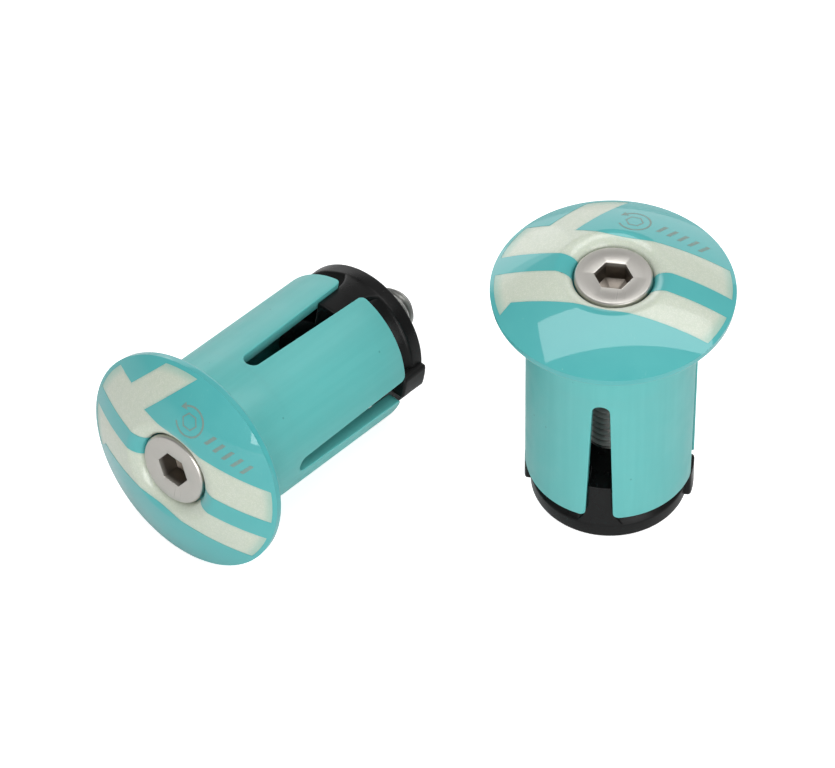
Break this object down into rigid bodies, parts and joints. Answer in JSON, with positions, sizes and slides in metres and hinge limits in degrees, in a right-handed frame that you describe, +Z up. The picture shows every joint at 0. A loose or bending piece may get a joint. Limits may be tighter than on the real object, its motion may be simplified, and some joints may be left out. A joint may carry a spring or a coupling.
{
  "type": "bar end plugs",
  "caption": "Pair of handlebar end plugs: domed caps on slotted sleeves that a wedge and bolt spread inside the bar end.",
  "frame": {"origin": "middle of the pair's footprint on the surface they stand and lie on", "axes": "+X from the lying plug towards the standing one, +Z up"},
  "size_m": [0.0776, 0.0446, 0.0442],
  "materials": {
    "cap_teal": "glossy moulded plastic, teal",
    "glow_inlay": "slightly translucent cream inlay, fine speckle",
    "sleeve_teal": "satin moulded plastic, teal",
    "bolt_nickel": "satin nickel plate",
    "wedge_black": "black moulded plastic, soft sheen",
    "nut_steel": "zinc plate"
  },
  "bodies": {
    "standing_shell": {"standing_cap": "cap_teal", "standing_glow_inlay_upper": "glow_inlay", "standing_glow_inlay_lower": "glow_inlay", "standing_sleeve_collar": "sleeve_teal"},
    "standing_bolt": {"standing_bolt": "bolt_nickel"},
    "standing_wedge": {"standing_wedge": "wedge_black", "standing_captive_nut": "nut_steel"},
    "standing_finger_1": {"standing_finger_1": "sleeve_teal"},
    "standing_finger_2": {"standing_finger_2": "sleeve_teal"},
    "standing_finger_3": {"standing_finger_3": "sleeve_teal"},
    "standing_finger_4": {"standing_finger_4": "sleeve_teal"},
    "lying_shell": {"lying_cap": "cap_teal", "lying_glow_inlay_upper": "glow_inlay", "lying_glow_inlay_lower": "glow_inlay", "lying_sleeve_collar": "sleeve_teal"},
    "lying_bolt": {"lying_bolt": "bolt_nickel"},
    "lying_wedge": {"lying_wedge": "wedge_black", "lying_captive_nut": "nut_steel"},
    "lying_finger_1": {"lying_finger_1": "sleeve_teal"},
    "lying_finger_2": {"lying_finger_2": "sleeve_teal"},
    "lying_finger_3": {"lying_finger_3": "sleeve_teal"},
    "lying_finger_4": {"lying_finger_4": "sleeve_teal"}
  },
  "joints": [
    {"name": "standing_bolt_turn", "type": "hinge", "parent": "standing_shell", "child": "standing_bolt", "pos_m": [0.0242, -0.00767, 0.0412], "axis": [0, 0, -1], "range_deg": [0, 721]},
    {"name": "standing_wedge_slide", "type": "slide", "parent": "standing_shell", "child": "standing_wedge", "axis": [0, 0, 1], "range_m": [0, 0.002]},
    {"name": "standing_finger_1_flex", "type": "hinge", "parent": "standing_shell", "child": "standing_finger_1", "pos_m": [0.03192, -0.00216, 0.03037], "axis": [0.5807, -0.8141, 0], "range_deg": [0, 2.98]},
    {"name": "standing_finger_2_flex", "type": "hinge", "parent": "standing_shell", "child": "standing_finger_2", "pos_m": [0.01869, 0.00005, 0.03037], "axis": [0.8141, 0.5807, 0], "range_deg": [0, 2.98]},
    {"name": "standing_finger_3_flex", "type": "hinge", "parent": "standing_shell", "child": "standing_finger_3", "pos_m": [0.01647, -0.01318, 0.03037], "axis": [-0.5807, 0.8141, 0], "range_deg": [0, 2.98]},
    {"name": "standing_finger_4_flex", "type": "hinge", "parent": "standing_shell", "child": "standing_finger_4", "pos_m": [0.0297, -0.01539, 0.03037], "axis": [-0.8141, -0.5807, 0], "range_deg": [0, 2.98]},
    {"name": "pair_spread", "type": "slide", "parent": "standing_shell", "child": "lying_shell", "axis": [-1, 0, 0], "range_m": [0, 0.05]},
    {"name": "lying_bolt_turn", "type": "hinge", "parent": "lying_shell", "child": "lying_bolt", "pos_m": [-0.02761, -0.01007, 0.01458], "axis": [0.6407, 0.7528, -0.1511], "range_deg": [0, 721]},
    {"name": "lying_wedge_slide", "type": "slide", "parent": "lying_shell", "child": "lying_wedge", "axis": [-0.6407, -0.7528, 0.1511], "range_m": [0, 0.002]},
    {"name": "lying_finger_1_flex", "type": "hinge", "parent": "lying_shell", "child": "lying_finger_1", "pos_m": [-0.01462, -0.00584, 0.01911], "axis": [0.4268, -0.5128, -0.7449], "range_deg": [0, 2.98]},
    {"name": "lying_finger_2_flex", "type": "hinge", "parent": "lying_shell", "child": "lying_finger_2", "pos_m": [-0.02472, 0.00294, 0.02001], "axis": [0.6383, -0.4127, 0.6498], "range_deg": [0, 2.98]},
    {"name": "lying_finger_3_flex", "type": "hinge", "parent": "lying_shell", "child": "lying_finger_3", "pos_m": [-0.02672, 0.00199, 0.00678], "axis": [-0.4268, 0.5128, 0.7449], "range_deg": [0, 2.98]},
    {"name": "lying_finger_4_flex", "type": "hinge", "parent": "lying_shell", "child": "lying_finger_4", "pos_m": [-0.01662, -0.00679, 0.00588], "axis": [-0.6383, 0.4127, -0.6498], "range_deg": [0, 2.98]}
  ],
  "couplings": [
    {"joint": "standing_bolt_turn", "follows": "standing_wedge_slide", "rad_per_m": 6283.2},
    {"joint": "standing_finger_1_flex", "follows": "standing_wedge_slide", "rad_per_m": 25.918},
    {"joint": "standing_finger_2_flex", "follows": "standing_wedge_slide", "rad_per_m": 25.918},
    {"joint": "standing_finger_3_flex", "follows": "standing_wedge_slide", "rad_per_m": 25.918},
    {"joint": "standing_finger_4_flex", "follows": "standing_wedge_slide", "rad_per_m": 25.918},
    {"joint": "lying_bolt_turn", "follows": "lying_wedge_slide", "rad_per_m": 6283.2},
    {"joint": "lying_finger_1_flex", "follows": "lying_wedge_slide", "rad_per_m": 25.918},
    {"joint": "lying_finger_2_flex", "follows": "lying_wedge_slide", "rad_per_m": 25.918},
    {"joint": "lying_finger_3_flex", "follows": "lying_wedge_slide", "rad_per_m": 25.918},
    {"joint": "lying_finger_4_flex", "follows": "lying_wedge_slide", "rad_per_m": 25.918}
  ]
}
